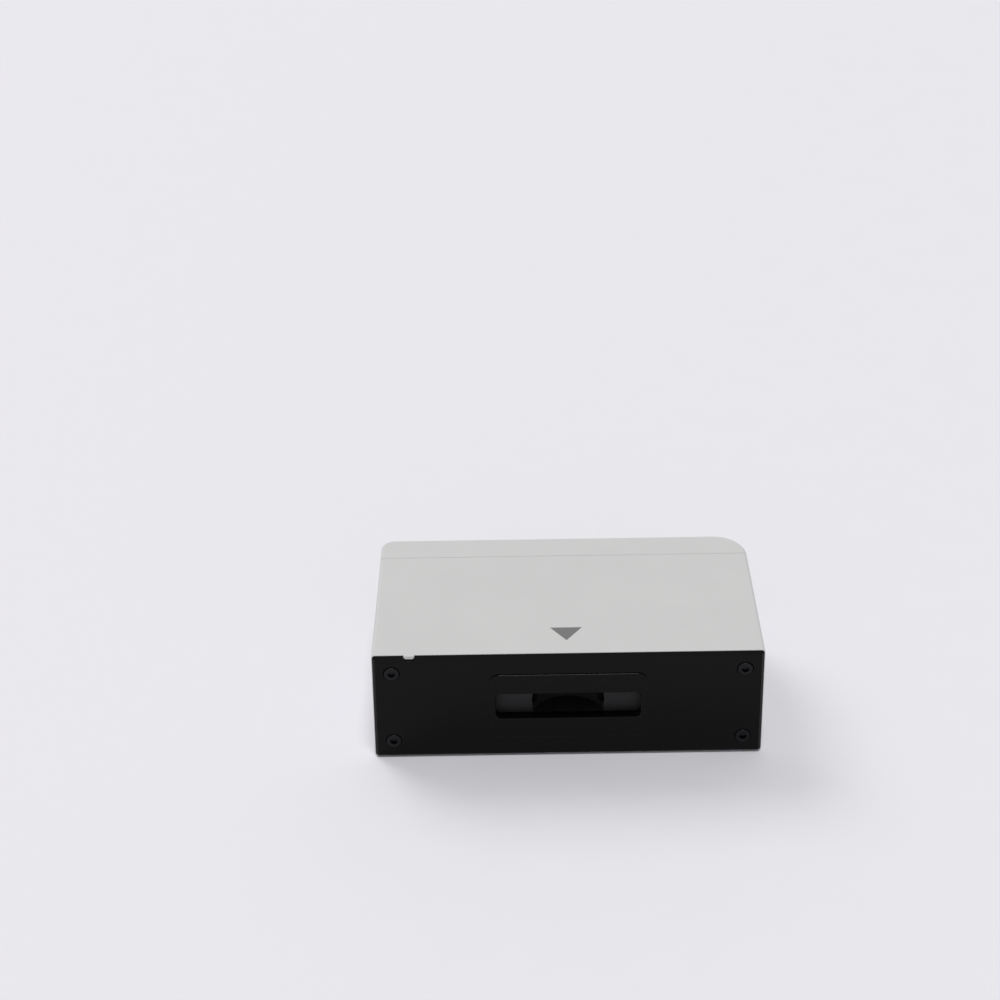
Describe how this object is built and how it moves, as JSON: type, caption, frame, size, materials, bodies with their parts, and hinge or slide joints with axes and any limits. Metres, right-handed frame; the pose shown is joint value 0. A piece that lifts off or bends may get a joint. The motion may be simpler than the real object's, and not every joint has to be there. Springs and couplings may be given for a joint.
{
  "type": "gloss meter",
  "caption": "Hand-held gloss meter: a long pale box on a black measuring face with an aperture, with a display and keys on the far side.",
  "frame": {"origin": "middle of the bounding box in plan, on the broad back face that it lies on", "axes": "+X along the meter, +Y from the measuring face up to the display and keys, +Z through its thickness, up from the back face"},
  "size_m": [0.14, 0.075, 0.045],
  "materials": {
    "casing": "satin pale grey moulding",
    "plate": "polished black moulding",
    "mark": "grey print",
    "panel": "dark grey overlay",
    "window": "clear hard-coated plastic",
    "display": "dark display glass",
    "diffuser": "white light guide",
    "key": "grey silicone rubber",
    "plunger": "natural nylon",
    "switch": "black switch body",
    "board": "green solder mask",
    "chip": "black moulded chip",
    "connector": "natural nylon",
    "steel": "zinc-plated steel",
    "screw_black": "black oxide steel",
    "head": "black anodised aluminium",
    "lens": "polished glass",
    "slit": "black anodised aluminium",
    "holder": "black moulding",
    "lamp": "clear epoxy lamp",
    "detector": "dark epoxy detector",
    "battery": "aluminium laminate pouch",
    "pad": "black foam pad",
    "ribbon": "amber ribbon cable",
    "lead": "red two-core lead"
  },
  "bodies": {
    "housing": {"backlight": "diffuser", "base_plate": "plate", "battery": "battery", "battery_lead": "lead", "battery_pad": "pad", "board_chips": "chip", "body_sleeve": "casing", "centre_mark": "mark", "control_panel": "panel", "detector_20": "detector", "detector_60": "detector", "detector_85": "detector", "display_board": "board", "display_board_connectors": "connector", "display_board_screws": "steel", "display_glass": "display", "display_ribbon": "ribbon", "display_window": "window", "head_cap": "casing", "lamp_20": "lamp", "lamp_60": "lamp", "lamp_85": "lamp", "main_board": "board", "main_board_screws": "steel", "optical_head": "head", "optical_head_screws": "steel", "receiver_holder_20": "holder", "receiver_holder_60": "holder", "receiver_holder_85": "holder", "receiver_lens_20": "lens", "receiver_lens_60": "lens", "receiver_lens_85": "lens", "receiver_slit_20": "slit", "receiver_slit_60": "slit", "receiver_slit_85": "slit", "source_holder_20": "holder", "source_holder_60": "holder", "source_holder_85": "holder", "source_lens_20": "lens", "source_lens_60": "lens", "source_lens_85": "lens", "source_slit_20": "slit", "source_slit_60": "slit", "source_slit_85": "slit", "switch_angle": "switch", "switch_calibrate": "switch", "switch_measure": "switch", "switch_power": "switch", "tie_screws": "screw_black", "usb_socket": "steel"},
    "key_power": {"key_power": "key", "plunger_power": "plunger"},
    "key_angle": {"key_angle": "key", "plunger_angle": "plunger"},
    "key_calibrate": {"key_calibrate": "key", "plunger_calibrate": "plunger"},
    "key_measure": {"key_measure": "key", "plunger_measure": "plunger"}
  },
  "joints": [
    {"name": "power_press", "type": "slide", "parent": "housing", "child": "key_power", "axis": [0, -1, 0], "range_m": [0, 0.0005], "stiffness_N_per_m": 1000, "springref_m": -0.0005},
    {"name": "angle_press", "type": "slide", "parent": "housing", "child": "key_angle", "axis": [0, -1, 0], "range_m": [0, 0.0005], "stiffness_N_per_m": 1000, "springref_m": -0.0005},
    {"name": "calibrate_press", "type": "slide", "parent": "housing", "child": "key_calibrate", "axis": [0, -1, 0], "range_m": [0, 0.0005], "stiffness_N_per_m": 1000, "springref_m": -0.0005},
    {"name": "measure_press", "type": "slide", "parent": "housing", "child": "key_measure", "axis": [0, -1, 0], "range_m": [0, 0.0005], "stiffness_N_per_m": 1000, "springref_m": -0.0005}
  ]
}
